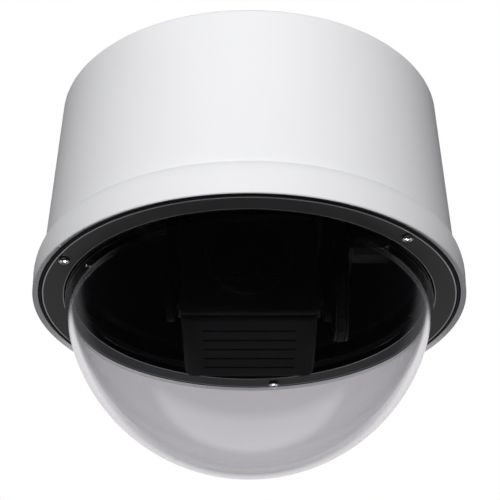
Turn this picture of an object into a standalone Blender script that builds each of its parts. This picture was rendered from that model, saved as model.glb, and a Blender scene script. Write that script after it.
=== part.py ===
"""Ptz dome camera for hanging on a pendant pipe, as separate solids.

Lengths are written in millimetres and the maker functions turn them into metres.
Heights are measured from the rim plane, the lowest edge of the white housing.
The row frame's origin is the centre of the mounting collar's top face, +Z up, lens towards -Y.
"""

import math

import bmesh
import bpy

MM = 0.001
GAP = 0.3                     # clearance between neighbouring solids

# Housing and dome
RIM_RADIUS = 104.4            # outer radius of the lip
BODY_LOW_RADIUS = 100.2       # body radius where the flare begins
BODY_TOP_RADIUS = 94.8
BODY_HEIGHT = 106.5
FLARE_FOOT = 8.0              # the lip is upright up to here
FLARE_RISE = 10.5
WALL = 2.6
TOP_WALL = 4.0
DOME_RADIUS = 89.0
DOME_WALL = 3.0
DOME_CENTRE = 5.3
TRIM_THICKNESS = 3.0
TRIM_RECESS = 0.6
TRIM_OUTER = 99.9
SCREW_CIRCLE = 96.0
SCREW_ANGLES = (82.0, 207.0, 318.0)
DOME_FLANGE_RADIUS = 99.2
CHASSIS_RING_RADIUS = 98.3
CHASSIS_RING_HEIGHT = 5.5

# Mounting collar
COLLAR_HEIGHT = 28.0
COLLAR_FLANGE_RADIUS = 44.0
COLLAR_NECK_RADIUS = 30.5
PIPE_BORE_RADIUS = 23.5
COLLAR_SCREW_CIRCLE = 37.0

# Pan and tilt works
TURNTABLE_Z = 57.0            # underside of the turntable
TURNTABLE_RADIUS = 66.0
PAN_PULLEY_RADIUS = 33.0
PAN_MOTOR_PULLEY_RADIUS = 6.6
PAN_MOTOR_X = -50.0
CHASSIS_Z = 74.0              # underside of the chassis plate
CHASSIS_THICKNESS = 3.0
TILT_Z = 4.0                  # height of the tilt axis
TILT_PULLEY_RADIUS = 20.0
TILT_MOTOR_PULLEY_RADIUS = 5.0
TILT_MOTOR_RISE = 34.0        # motor axis above the tilt axis
ARM_INNER_X = 36.0
ARM_THICKNESS = 4.0
FAN_Y = -45.0

# Camera head, measured from the tilt axis
HEAD_HALF_WIDTH = 32.0
HEAD_HALF_HEIGHT = 26.0
HEAD_REAR = 38.0
HEAD_FRONT = -30.0
BARREL_RADIUS = 20.5
BARREL_FRONT = -43.0

TOTAL_HEIGHT = BODY_HEIGHT + COLLAR_HEIGHT
CHASSIS_TOP = CHASSIS_Z + CHASSIS_THICKNESS
CEILING = BODY_HEIGHT - TOP_WALL

UPRIGHT = (0.0, 0.0, 0.0)
ALONG_X = (0.0, math.radians(90.0), 0.0)
ALONG_Y = (math.radians(-90.0), 0.0, 0.0)


# ---------------------------------------------------------------- makers

def clear_scene():
    for old in list(bpy.data.objects):
        bpy.data.objects.remove(old, do_unlink=True)


def new_collection(name):
    group = bpy.data.collections.new(name)
    bpy.context.scene.collection.children.link(group)
    return group


def finish_material(name, color, roughness, metallic=0.0, transmission=0.0):
    made = bpy.data.materials.new(name)
    made.use_nodes = True
    shader = made.node_tree.nodes["Principled BSDF"]
    shader.inputs["Base Color"].default_value = (*color, 1.0)
    shader.inputs["Roughness"].default_value = roughness
    shader.inputs["Metallic"].default_value = metallic
    shader.inputs["Transmission Weight"].default_value = transmission
    made.diffuse_color = (*color, 1.0)
    return made


def frame_empty(name, location, parent=None):
    """An empty that carries parts; a moving piece's empty sits on its joint's axis."""
    made = bpy.data.objects.new(name, None)
    PARTS.objects.link(made)
    made.location = [value * MM for value in location]
    made.parent = parent
    return made


def place(name, mesh, finish, parent, location=(0.0, 0.0, 0.0), rotation=UPRIGHT):
    """Link a mesh as one named sub-part with its own material."""
    made = bpy.data.objects.new(name, mesh)
    PARTS.objects.link(made)
    made.location = [value * MM for value in location]
    made.rotation_euler = rotation
    made.parent = parent
    mesh.materials.clear()
    mesh.materials.append(finish_material(name, **finish))
    return made


def spin_profile(made, steps):
    screw = made.modifiers.new("turn", "SCREW")
    screw.axis = "Z"
    screw.steps = steps
    screw.render_steps = steps
    screw.use_merge_vertices = True
    screw.merge_threshold = 0.00005
    screw.use_smooth_shade = False


def profile_mesh(name, profile, ring):
    mesh = bpy.data.meshes.new(name)
    points = [(radius * MM, 0.0, height * MM) for radius, height in profile]
    edges = [(index, index + 1) for index in range(len(points) - 1)]
    if ring:
        edges.append((len(points) - 1, 0))
    mesh.from_pydata(points, edges, [])
    return mesh


def turned(name, profile, finish, parent, location=(0.0, 0.0, 0.0), rotation=UPRIGHT, steps=32):
    """A turned piece. Its profile of (radius, height) runs down the outer side, and closes
    on itself when neither end is on the axis."""
    ring = profile[0][0] > 0.0
    made = place(name, profile_mesh(name, profile, ring), finish, parent, location, rotation)
    spin_profile(made, steps)
    return made


def cylinder_profile(radius, low, high):
    return [(0.0, high), (radius, high), (radius, low), (0.0, low)]


def tube_profile(inner, outer, low, high):
    return [(inner, high), (outer, high), (outer, low), (inner, low)]


def arc(centre_r, centre_z, radius, start, stop, count):
    """Points on an arc in the profile plane, from start to stop in degrees."""
    angles = [math.radians(start + (stop - start) * step / count) for step in range(count + 1)]
    return [(centre_r + radius * math.cos(a), centre_z + radius * math.sin(a)) for a in angles]


def block(name, low, high, finish, parent, bevel=0.0):
    """A box between two corners, with its edges bevelled when asked."""
    mesh = bpy.data.meshes.new(name)
    shape = bmesh.new()
    bmesh.ops.create_cube(shape, size=1.0)
    size = [(top - bottom) * MM for bottom, top in zip(low, high)]
    bmesh.ops.scale(shape, vec=size, verts=shape.verts)
    shape.to_mesh(mesh)
    shape.free()
    centre = [(top + bottom) / 2.0 for bottom, top in zip(low, high)]
    made = place(name, mesh, finish, parent, centre)
    if bevel > 0.0:
        rounding = made.modifiers.new("edges", "BEVEL")
        rounding.width = bevel * MM
        rounding.segments = 2
    return made


def plate(name, outlines, thickness, finish, parent, location=(0.0, 0.0, 0.0), rotation=UPRIGHT):
    """A flat piece from closed outlines in its local XY plane, centred on its thickness."""
    curve = bpy.data.curves.new(name, "CURVE")
    curve.dimensions = "2D"
    curve.fill_mode = "BOTH"
    curve.extrude = thickness * MM / 2.0
    for outline in outlines:
        spline = curve.splines.new("POLY")
        spline.points.add(len(outline) - 1)
        for point, (x, y) in zip(spline.points, outline):
            point.co = (x * MM, y * MM, 0.0, 1.0)
        spline.use_cyclic_u = True
    pattern = bpy.data.objects.new(name + "_outline", curve)
    bpy.context.scene.collection.objects.link(pattern)
    graph = bpy.context.evaluated_depsgraph_get()
    mesh = bpy.data.meshes.new_from_object(pattern.evaluated_get(graph))
    bpy.data.objects.remove(pattern, do_unlink=True)
    shape = bmesh.new()
    shape.from_mesh(mesh)
    bmesh.ops.remove_doubles(shape, verts=shape.verts, dist=0.00001)
    bmesh.ops.recalc_face_normals(shape, faces=shape.faces)
    shape.to_mesh(mesh)
    shape.free()
    return place(name, mesh, finish, parent, location, rotation)


def combine(made, other, operation):
    """Cut another object from a part, or join it on, and keep it as a hidden tool."""
    for group in list(other.users_collection):
        group.objects.unlink(other)
    CUTTERS.objects.link(other)
    other.hide_render = True
    other.display_type = "WIRE"
    step = made.modifiers.new(other.name, "BOOLEAN")
    step.operation = operation
    step.solver = "EXACT"
    step.object = other


def round_tool(name, radius, low, high, parent, location, rotation=UPRIGHT, sides=16):
    """A closed cylinder from low to high along its axis, for cutting or joining."""
    mesh = bpy.data.meshes.new(name)
    shape = bmesh.new()
    bmesh.ops.create_cone(shape, cap_ends=True, segments=sides, radius1=radius * MM,
                          radius2=radius * MM, depth=(high - low) * MM)
    bmesh.ops.translate(shape, vec=(0.0, 0.0, (high + low) / 2.0 * MM), verts=shape.verts)
    shape.to_mesh(mesh)
    shape.free()
    made = bpy.data.objects.new(name, mesh)
    CUTTERS.objects.link(made)
    made.location = [value * MM for value in location]
    made.rotation_euler = rotation
    made.parent = parent
    return made


def on_circle(radius, degrees):
    angle = math.radians(degrees)
    return radius * math.cos(angle), radius * math.sin(angle)


def belt_outline(large, small, distance, count=20):
    """A loop around a large circle at the origin and a small one at +Y by distance."""
    reach = math.degrees(math.acos((large - small) / distance))
    far_side = arc(0.0, 0.0, large, 90.0 + reach, 450.0 - reach, count)
    near_side = arc(0.0, distance, small, 90.0 - reach, 90.0 + reach, count // 2)
    return far_side + near_side


# ---------------------------------------------------------------- finishes

WHITE_PAINT = {"color": (0.82, 0.83, 0.85), "roughness": 0.42}
BLACK_PLASTIC = {"color": (0.012, 0.012, 0.013), "roughness": 0.6}
BLACK_RING = {"color": (0.02, 0.02, 0.022), "roughness": 0.45}
BLACK_RUBBER = {"color": (0.01, 0.01, 0.01), "roughness": 0.8}
CLEAR_DOME = {"color": (0.9, 0.9, 0.92), "roughness": 0.03, "transmission": 1.0}
LENS_GLASS = {"color": (0.75, 0.78, 0.85), "roughness": 0.02, "transmission": 1.0}
STEEL = {"color": (0.62, 0.62, 0.64), "roughness": 0.3, "metallic": 1.0}
BLACKENED = {"color": (0.015, 0.015, 0.016), "roughness": 0.5}
ALUMINIUM = {"color": (0.7, 0.7, 0.71), "roughness": 0.4, "metallic": 1.0}
GREEN_BOARD = {"color": (0.02, 0.11, 0.05), "roughness": 0.5}
BLUE_PLASTIC = {"color": (0.05, 0.16, 0.3), "roughness": 0.5}
FILTER_GLASS = {"color": (0.3, 0.6, 0.65), "roughness": 0.05, "transmission": 1.0}


# ---------------------------------------------------------------- housing

def build_collar(rim):
    """Collar that takes the pipe, its gasket and its four cap screws."""
    gasket_low = BODY_HEIGHT + GAP
    gasket_high = gasket_low + 1.5
    flange_low = gasket_high + GAP
    flange_high = flange_low + 6.0
    top = TOTAL_HEIGHT
    collar = turned(
        "mounting_collar",
        [(PIPE_BORE_RADIUS, top), (COLLAR_NECK_RADIUS - 1.0, top), (COLLAR_NECK_RADIUS, top - 1.0)]
        + arc(COLLAR_NECK_RADIUS + 2.0, flange_high + 2.0, 2.0, 180.0, 270.0, 2)
        + [(COLLAR_FLANGE_RADIUS - 1.0, flange_high), (COLLAR_FLANGE_RADIUS, flange_high - 1.0),
           (COLLAR_FLANGE_RADIUS, flange_low), (PIPE_BORE_RADIUS, flange_low)],
        WHITE_PAINT, rim, steps=36)
    gasket = turned("collar_gasket", tube_profile(PIPE_BORE_RADIUS + 0.5, COLLAR_FLANGE_RADIUS - 1.0,
                                                  gasket_low, gasket_high), BLACK_RUBBER, rim, steps=36)
    screw_profile = [(0.0, 5.0), (4.25, 5.0), (4.25, 0.0), (2.5, 0.0), (2.5, -12.2), (0.0, -12.2)]
    for number in range(4):
        x, y = on_circle(COLLAR_SCREW_CIRCLE, 90.0 * number)
        turned(f"collar_screw_{number + 1}", screw_profile, STEEL, rim, (x, y, flange_high + GAP), steps=12)
        for part in (collar, gasket):
            hole = round_tool(f"{part.name}_hole_{number + 1}", 2.8, gasket_low - 2.0, flange_high + 2.0,
                              rim, (x, y, 0.0))
            combine(part, hole, "DIFFERENCE")


def build_shell(rim):
    """White housing: a tapered wall that flares into the lip, closed above but for the cable hole."""
    flare_width = RIM_RADIUS - BODY_LOW_RADIUS
    flare_top = FLARE_FOOT + FLARE_RISE
    flare = [(BODY_LOW_RADIUS + flare_width * math.cos(math.radians(turn)),
              FLARE_FOOT + FLARE_RISE * math.sin(math.radians(turn))) for turn in (75.0, 50.0, 25.0, 0.0)]
    cable_hole = PIPE_BORE_RADIUS + 0.5
    outer = ([(cable_hole, BODY_HEIGHT)]
             + arc(BODY_TOP_RADIUS - 3.0, BODY_HEIGHT - 3.0, 3.0, 90.0, 0.0, 2)
             + [(BODY_LOW_RADIUS, flare_top)] + flare
             + [(RIM_RADIUS, 0.8), (RIM_RADIUS - 0.8, 0.0)])
    inner = [(RIM_RADIUS - WALL + 0.6, 0.0), (RIM_RADIUS - WALL, 0.6), (RIM_RADIUS - WALL, FLARE_FOOT),
             (BODY_LOW_RADIUS - WALL, flare_top - 1.0), (BODY_TOP_RADIUS - WALL, CEILING), (cable_hole, CEILING)]
    shell = turned("housing_shell", outer + inner, WHITE_PAINT, rim, steps=60)
    for number in range(4):
        x, y = on_circle(COLLAR_SCREW_CIRCLE, 90.0 * number)
        hole = round_tool(f"shell_hole_{number + 1}", 2.8, CEILING - 2.0, BODY_HEIGHT + 2.0, rim, (x, y, 0.0))
        combine(shell, hole, "DIFFERENCE")


def build_dome(rim):
    """Dome with its flange, the ring that clamps it, the seals, the ring it is screwed to and the liner."""
    flange_low = TRIM_RECESS + TRIM_THICKNESS + GAP
    flange_high = flange_low + 3.0
    inner_radius = DOME_RADIUS - DOME_WALL
    dome = turned(
        "dome",
        arc(0.0, DOME_CENTRE, inner_radius, -90.0, 0.0, 9)
        + [(inner_radius, flange_high), (DOME_FLANGE_RADIUS, flange_high), (DOME_FLANGE_RADIUS, flange_low)]
        + arc(0.0, DOME_CENTRE, DOME_RADIUS, -1.0, -90.0, 9),
        CLEAR_DOME, rim, steps=48)
    trim_high = TRIM_RECESS + TRIM_THICKNESS
    trim = turned(
        "trim_ring",
        [(DOME_RADIUS + 0.4, trim_high), (TRIM_OUTER, trim_high), (TRIM_OUTER, TRIM_RECESS + 0.5),
         (TRIM_OUTER - 0.5, TRIM_RECESS), (DOME_RADIUS + 0.9, TRIM_RECESS), (DOME_RADIUS + 0.4, TRIM_RECESS + 0.5)],
        BLACK_RING, rim, steps=60)
    turned("lip_gasket", tube_profile(TRIM_OUTER + GAP, RIM_RADIUS - WALL - GAP, 0.6, trim_high),
           BLACK_RUBBER, rim, steps=60)
    gasket_high = flange_high + GAP + 1.5
    turned("dome_gasket", tube_profile(87.0, 92.0, flange_high + GAP, gasket_high), BLACK_RUBBER, rim, steps=40)
    ring_low = gasket_high + GAP
    ring_high = ring_low + CHASSIS_RING_HEIGHT
    ring = turned("chassis_ring", tube_profile(87.0, CHASSIS_RING_RADIUS, ring_low, ring_high), BLACK_RING, rim,
                  steps=48)
    screw_profile = [(0.0, 13.0), (1.5, 13.0), (1.5, 0.0), (2.75, 0.0), (2.75, -0.8), (1.9, -1.6), (0.0, -1.7)]
    for number, degrees in enumerate(SCREW_ANGLES):
        x, y = on_circle(SCREW_CIRCLE, degrees)
        turned(f"trim_screw_{number + 1}", screw_profile, STEEL, rim, (x, y, TRIM_RECESS - GAP), steps=12)
        for part in (dome, trim, ring):
            hole = round_tool(f"{part.name}_hole_{number + 1}", 1.8, -2.0, ring_high + 2.0, rim, (x, y, 0.0), sides=12)
            combine(part, hole, "DIFFERENCE")
    build_liner(rim, ring_high + GAP)


def build_liner(rim, foot):
    """Black cup that hides the inside of the housing; the pan unit hangs through its top."""
    liner_top = CHASSIS_Z - 1.5
    sheet = 2.0
    liner = turned(
        "inner_liner",
        [(36.0, liner_top), (80.0, liner_top), (85.0, foot + sheet), (96.5, foot + sheet), (96.5, foot),
         (83.0, foot), (78.0, liner_top - sheet), (36.0, liner_top - sheet)],
        BLACK_PLASTIC, rim, steps=44)
    hole = round_tool("liner_shaft_hole", 4.5, liner_top - 6.0, liner_top + 4.0, rim, (PAN_MOTOR_X, 0.0, 0.0))
    combine(liner, hole, "DIFFERENCE")


# ---------------------------------------------------------------- fixed works

def build_chassis(rim):
    """Plate that carries the works, on three standoffs from the housing's ceiling."""
    chassis = turned("chassis_plate", tube_profile(11.0 + GAP, 72.0, CHASSIS_Z, CHASSIS_TOP), ALUMINIUM, rim, steps=40)
    shaft_hole = round_tool("chassis_shaft_hole", 4.0, CHASSIS_Z - 2.0, CHASSIS_TOP + 2.0, rim, (PAN_MOTOR_X, 0.0, 0.0))
    combine(chassis, shaft_hole, "DIFFERENCE")
    air_hole = round_tool("chassis_air_hole", 17.0, CHASSIS_Z - 2.0, CHASSIS_TOP + 2.0, rim, (0.0, FAN_Y, 0.0), sides=24)
    combine(chassis, air_hole, "DIFFERENCE")
    for number, degrees in enumerate((35.0, 145.0, 230.0)):
        x, y = on_circle(66.0, degrees)
        turned(f"standoff_{number + 1}", cylinder_profile(3.5, CHASSIS_TOP + GAP, CEILING - GAP), STEEL, rim,
               (x, y, 0.0), steps=10)


def build_electronics(rim):
    """Main board on two rails with its terminal block, and the heater."""
    floor = CHASSIS_TOP + GAP
    rail_top = floor + 4.0
    for name, x in (("board_rail_left", -36.0), ("board_rail_right", 32.0)):
        block(name, (x, 22.0, floor), (x + 4.0, 58.0, rail_top), BLACK_PLASTIC, rim)
    board_low = rail_top + GAP
    board_high = board_low + 1.6
    block("main_board", (-38.0, 21.0, board_low), (38.0, 60.0, board_high), GREEN_BOARD, rim)
    block("terminal_block", (-32.0, 44.0, board_high + GAP), (2.0, 56.0, board_high + 10.0), BLUE_PLASTIC, rim, 0.8)
    block("heater", (38.0, -14.0, floor), (66.0, 14.0, floor + 9.0), ALUMINIUM, rim, 1.0)


def build_fan(rim):
    """Square fan frame over the air hole, and its rotor on its own axis."""
    low = CHASSIS_TOP + GAP
    high = low + 10.0
    half = 20.0
    frame_part = block("fan_frame", (-half, FAN_Y - half, low), (half, FAN_Y + half, high), BLACK_PLASTIC, rim)
    bore = round_tool("fan_bore", 18.5, low - 2.0, high + 2.0, rim, (0.0, FAN_Y, 0.0), sides=32)
    combine(frame_part, bore, "DIFFERENCE")
    axis = frame_empty("fan_axis", (0.0, FAN_Y, 0.0), rim)
    rotor = turned("fan_rotor", cylinder_profile(8.0, low + 0.8, high - 0.8), BLACK_PLASTIC, axis, steps=16)
    for number in range(5):
        angle = math.radians(72.0 * number)
        blade = block(f"fan_blade_{number + 1}", (6.0, -4.0, -0.6), (17.6, 4.0, 0.6), BLACK_PLASTIC, axis)
        middle = 11.8
        blade.location = (middle * math.cos(angle) * MM, middle * math.sin(angle) * MM, (low + high) / 2.0 * MM)
        blade.rotation_euler = (math.radians(38.0), 0.0, angle)
        combine(rotor, blade, "UNION")


def build_spindle(rim):
    """Hollow spindle under the chassis plate, the bearing race on it and the slip ring in it."""
    foot = TURNTABLE_Z + 0.5
    flange_high = CHASSIS_Z - GAP
    turned("pan_spindle",
           [(8.0, 88.0), (11.0, 88.0), (11.0, flange_high), (19.0, flange_high), (19.0, flange_high - 3.0),
            (11.0, flange_high - 3.0), (11.0, foot), (8.0, foot)], STEEL, rim, steps=24)
    turned("pan_bearing_inner", tube_profile(11.0 + GAP, 15.0, 59.0, 68.0), STEEL, rim, steps=24)
    turned("slip_ring_stator", [(0.0, 91.5), (10.0, 91.5), (10.0, 88.0 + GAP), (8.0 - GAP, 88.0 + GAP),
                                (8.0 - GAP, foot), (0.0, foot)], BLACK_PLASTIC, rim, steps=20)


def build_pan_drive(rim):
    """Pan motor on the chassis plate, its pulley below it, and the belt to the turntable's pulley."""
    low = CHASSIS_TOP + GAP
    half = 17.0
    block("pan_motor", (PAN_MOTOR_X - half, -half, low), (PAN_MOTOR_X + half, half, low + 24.0), STEEL, rim, 2.0)
    axis = frame_empty("pan_motor_axis", (PAN_MOTOR_X, 0.0, 0.0), rim)
    small = PAN_MOTOR_PULLEY_RADIUS
    turned("pan_motor_pulley",
           [(0.0, CHASSIS_TOP), (2.5, CHASSIS_TOP), (2.5, 69.0), (small + 1.6, 69.0), (small + 1.6, 67.8),
            (small, 67.6), (small, 61.9), (small + 1.6, 61.7), (small + 1.6, 60.5), (0.0, 60.5)],
           ALUMINIUM, axis, steps=14)
    inner = belt_outline(PAN_PULLEY_RADIUS + GAP, small + GAP, -PAN_MOTOR_X)
    outer = belt_outline(PAN_PULLEY_RADIUS + GAP + 1.5, small + GAP + 1.5, -PAN_MOTOR_X)
    plate("pan_belt", (outer, inner), 4.8, BLACK_RUBBER, rim, (0.0, 0.0, 64.75), (0.0, 0.0, math.radians(90.0)))


# ---------------------------------------------------------------- pan unit

def build_turntable(pan):
    """Turntable with its hub on the bearing, the pulley around the hub and the slip ring's rotor plate."""
    disc_high = TURNTABLE_Z + 3.0
    hub_bore = 20.3
    hub_radius = 25.7
    turned("turntable",
           [(hub_bore, 69.5), (hub_radius, 69.5), (hub_radius, disc_high), (TURNTABLE_RADIUS - 0.8, disc_high),
            (TURNTABLE_RADIUS, disc_high - 0.8), (TURNTABLE_RADIUS, TURNTABLE_Z), (hub_bore, TURNTABLE_Z)],
           BLACK_PLASTIC, pan, steps=40)
    turned("pan_bearing_outer", tube_profile(15.0 + GAP, hub_bore - GAP, 59.0, 68.0), BLACKENED, pan, steps=24)
    pulley_inner = hub_radius + GAP
    large = PAN_PULLEY_RADIUS
    turned("pan_pulley",
           [(pulley_inner, 68.9), (large + 2.0, 68.9), (large + 2.0, 67.8), (large, 67.6), (large, 61.9),
            (large + 2.0, 61.7), (large + 2.0, disc_high + GAP), (pulley_inner, disc_high + GAP)],
           BLACKENED, pan, steps=32)
    turned("slip_ring_rotor", cylinder_profile(24.0, TURNTABLE_Z - GAP - 2.4, TURNTABLE_Z - GAP), BLACK_PLASTIC, pan)


def build_arms(pan):
    """Two yoke arms hung from the turntable, each with a bush for the camera's trunnion."""
    head_room = TURNTABLE_Z - GAP
    rounded_end = arc(0.0, 0.0, 12.0, 180.0, 360.0, 12)
    outline = [(18.0, head_room - TILT_Z), (-18.0, head_room - TILT_Z), (-18.0, 34.0)] + rounded_end + [(18.0, 34.0)]
    for side, sign in (("left", -1.0), ("right", 1.0)):
        middle = sign * (ARM_INNER_X + ARM_THICKNESS / 2.0)
        arm = plate(f"yoke_arm_{side}", (outline,), ARM_THICKNESS, BLACK_PLASTIC, pan, (middle, 0.0, TILT_Z),
                    (math.radians(90.0), 0.0, math.radians(90.0)))
        x_near, x_far = sorted((sign * (ARM_INNER_X + 1.0), sign * 47.5))
        foot = block(f"arm_foot_{side}", (x_near, -18.0, head_room - 3.0), (x_far, 18.0, head_room), BLACK_PLASTIC, pan)
        combine(arm, foot, "UNION")
        bore = round_tool(f"arm_bore_{side}", 8.0 + GAP, -60.0, 60.0, pan, (0.0, 0.0, TILT_Z), ALONG_X, sides=24)
        combine(arm, bore, "DIFFERENCE")
        low, high = sorted((sign * (ARM_INNER_X - 0.4), sign * (ARM_INNER_X + ARM_THICKNESS)))
        turned(f"tilt_bush_{side}", tube_profile(4.0 + GAP, 8.0, low, high), BLACKENED, pan, (0.0, 0.0, TILT_Z),
               ALONG_X, steps=16)


def build_tilt_drive(pan):
    """Tilt motor on its bracket outside the right arm, its pulley, and the belt to the camera's pulley."""
    head_room = TURNTABLE_Z - GAP
    motor_z = TILT_Z + TILT_MOTOR_RISE
    bracket_x = 48.3
    bracket = block("tilt_motor_bracket", (bracket_x, -15.0, motor_z - 15.0), (bracket_x + 2.0, 15.0, head_room),
                    BLACKENED, pan)
    foot = block("bracket_foot", (bracket_x + 1.0, -15.0, head_room - 2.0), (61.0, 15.0, head_room), BLACKENED, pan)
    combine(bracket, foot, "UNION")
    bore = round_tool("bracket_bore", 3.0, bracket_x - 4.0, bracket_x + 6.0, pan, (0.0, 0.0, motor_z), ALONG_X)
    combine(bracket, bore, "DIFFERENCE")
    motor_x = bracket_x + 2.0 + GAP
    turned("tilt_motor",
           [(0.0, motor_x + 19.0), (12.5, motor_x + 19.0), (13.5, motor_x + 18.0), (13.5, motor_x), (0.0, motor_x)],
           BLACKENED, pan, (0.0, 0.0, motor_z), ALONG_X, steps=20)
    axis = frame_empty("tilt_motor_axis", (0.0, 0.0, motor_z), pan)
    small = TILT_MOTOR_PULLEY_RADIUS
    turned("tilt_motor_pulley",
           [(0.0, motor_x - GAP), (2.0, motor_x - GAP), (2.0, 47.0), (small + 1.4, 47.0), (small + 1.4, 46.2),
            (small, 46.0), (small, 42.0), (small + 1.4, 41.8), (small + 1.4, 41.0), (0.0, 41.0)],
           BLACKENED, axis, rotation=ALONG_X, steps=14)
    inner = belt_outline(TILT_PULLEY_RADIUS + GAP, small + GAP, TILT_MOTOR_RISE)
    outer = belt_outline(TILT_PULLEY_RADIUS + GAP + 1.3, small + GAP + 1.3, TILT_MOTOR_RISE)
    plate("tilt_belt", (outer, inner), 3.4, BLACK_RUBBER, pan, (44.0, 0.0, TILT_Z),
          (math.radians(90.0), 0.0, math.radians(90.0)))


# ---------------------------------------------------------------- camera head

def build_head_case(tilt):
    """Rear case open at its front, the bezel that closes it, and the trunnions and pulley it tilts on."""
    wall = 2.0
    case = block("camera_case", (-HEAD_HALF_WIDTH, HEAD_FRONT, -HEAD_HALF_HEIGHT),
                 (HEAD_HALF_WIDTH, HEAD_REAR, HEAD_HALF_HEIGHT), BLACK_PLASTIC, tilt, 4.0)
    room = block("case_room", (wall - HEAD_HALF_WIDTH, HEAD_FRONT - 6.0, wall - HEAD_HALF_HEIGHT),
                 (HEAD_HALF_WIDTH - wall, HEAD_REAR - wall, HEAD_HALF_HEIGHT - wall), BLACK_PLASTIC, tilt)
    combine(case, room, "DIFFERENCE")
    bezel = block("camera_bezel", (-HEAD_HALF_WIDTH, HEAD_FRONT - 6.0, -HEAD_HALF_HEIGHT),
                  (HEAD_HALF_WIDTH, HEAD_FRONT - GAP, HEAD_HALF_HEIGHT), BLACK_PLASTIC, tilt, 2.0)
    opening = round_tool("bezel_opening", BARREL_RADIUS + GAP, -60.0, 0.0, tilt, (0.0, 0.0, 0.0), ALONG_Y, sides=36)
    combine(bezel, opening, "DIFFERENCE")
    flange_in = HEAD_HALF_WIDTH + GAP
    for side, sign, end in (("left", -1.0, 41.0), ("right", 1.0, 47.6)):
        spin = (0.0, sign * math.radians(90.0), 0.0)
        turned(f"trunnion_{side}",
               [(0.0, end), (4.0, end), (4.0, flange_in + 2.0), (10.0, flange_in + 2.0), (10.0, flange_in),
                (0.0, flange_in)], BLACKENED, tilt, rotation=spin, steps=16)
    large = TILT_PULLEY_RADIUS
    turned("tilt_pulley",
           [(4.0 + GAP, 47.2), (large + 1.4, 47.2), (large + 1.4, 46.2), (large, 46.0), (large, 42.0),
            (large + 1.4, 41.8), (large + 1.4, 40.8), (4.0 + GAP, 40.8)],
           BLACKENED, tilt, rotation=ALONG_X, steps=28)


def build_lens(tilt):
    """Lens barrel with its front lens, two guide rods, and the zoom and focus groups that slide on them."""
    bore = BARREL_RADIUS - 2.5
    barrel_rear = 10.0
    turned("lens_barrel", tube_profile(bore, BARREL_RADIUS, BARREL_FRONT, barrel_rear), BLACK_PLASTIC, tilt,
           rotation=ALONG_Y, steps=24)
    lens_radius = bore - GAP
    turned("front_lens",
           [(0.0, -35.0), (lens_radius, -35.0), (lens_radius, -38.5), (12.0, -40.0), (6.0, -40.9), (0.0, -41.2)],
           LENS_GLASS, tilt, rotation=ALONG_Y, steps=28)
    rod_height = 14.5
    carriers = []
    for name, low, high in (("zoom_group", -26.0, -20.0), ("focus_group", -3.0, 2.0)):
        carriers.append(turned(name, cylinder_profile(lens_radius - 0.3, low, high), BLACK_PLASTIC, tilt,
                               rotation=ALONG_Y, steps=32))
    for side, sign in (("upper", 1.0), ("lower", -1.0)):
        turned(f"guide_rod_{side}", cylinder_profile(1.2, -33.0, 9.7), BLACKENED, tilt, (0.0, 0.0, sign * rod_height),
               ALONG_Y, steps=10)
        for carrier in carriers:
            bush = round_tool(f"{carrier.name}_bush_{side}", 1.6, -40.0, 20.0, tilt, (0.0, 0.0, sign * rod_height),
                              ALONG_Y, sides=12)
            combine(carrier, bush, "DIFFERENCE")


def build_sensor(tilt):
    """Infrared filter that slides aside in front of the image sensor, the sensor's board and the encoder board."""
    block("ir_filter", (-7.0, 14.0, -7.0), (7.0, 15.2, 7.0), FILTER_GLASS, tilt)
    block("image_sensor", (-6.0, 17.0, -6.0), (6.0, 18.7, 6.0), BLACK_PLASTIC, tilt)
    block("sensor_board", (-18.0, 19.0, -18.0), (18.0, 20.6, 18.0), GREEN_BOARD, tilt)
    block("encoder_board", (-28.0, 28.0, -22.0), (28.0, 29.6, 22.0), GREEN_BOARD, tilt)


def build_camera():
    rim = frame_empty("rim_plane", (0.0, 0.0, -TOTAL_HEIGHT))
    pan = frame_empty("pan_axis", (0.0, 0.0, 0.0), rim)
    tilt = frame_empty("tilt_axis", (0.0, 0.0, TILT_Z), pan)
    build_collar(rim)
    build_shell(rim)
    build_dome(rim)
    build_chassis(rim)
    build_electronics(rim)
    build_fan(rim)
    build_spindle(rim)
    build_pan_drive(rim)
    build_turntable(pan)
    build_arms(pan)
    build_tilt_drive(pan)
    build_head_case(tilt)
    build_lens(tilt)
    build_sensor(tilt)


clear_scene()
PARTS = new_collection("ptz_camera")
CUTTERS = new_collection("cutters")
build_camera()
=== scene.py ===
import math

import bmesh
import bpy
from mathutils import Matrix, Vector


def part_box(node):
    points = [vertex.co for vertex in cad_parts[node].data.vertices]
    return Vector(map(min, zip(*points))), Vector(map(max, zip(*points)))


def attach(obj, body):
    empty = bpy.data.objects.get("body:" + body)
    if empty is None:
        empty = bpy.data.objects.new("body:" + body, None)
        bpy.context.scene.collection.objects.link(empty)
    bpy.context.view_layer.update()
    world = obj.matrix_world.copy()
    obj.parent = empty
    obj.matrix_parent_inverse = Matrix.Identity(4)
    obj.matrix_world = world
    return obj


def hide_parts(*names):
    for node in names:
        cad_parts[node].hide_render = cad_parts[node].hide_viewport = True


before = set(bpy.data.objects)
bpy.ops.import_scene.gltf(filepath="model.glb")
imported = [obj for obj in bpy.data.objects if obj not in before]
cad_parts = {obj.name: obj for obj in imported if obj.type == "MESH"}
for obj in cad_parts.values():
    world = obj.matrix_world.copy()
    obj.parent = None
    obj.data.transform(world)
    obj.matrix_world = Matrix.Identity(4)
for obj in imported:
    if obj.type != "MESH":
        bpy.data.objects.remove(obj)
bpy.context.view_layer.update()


# The studio. The object hangs over a pale floor and is seen from below and in front, against white. One
# soft light is high in front and one high behind, a pale glow comes from low in front, and a dim grey
# room shows through the dome.
def lowest(node):
    return Vector(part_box(node)[0])


def highest(node):
    return Vector(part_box(node)[1])


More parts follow.
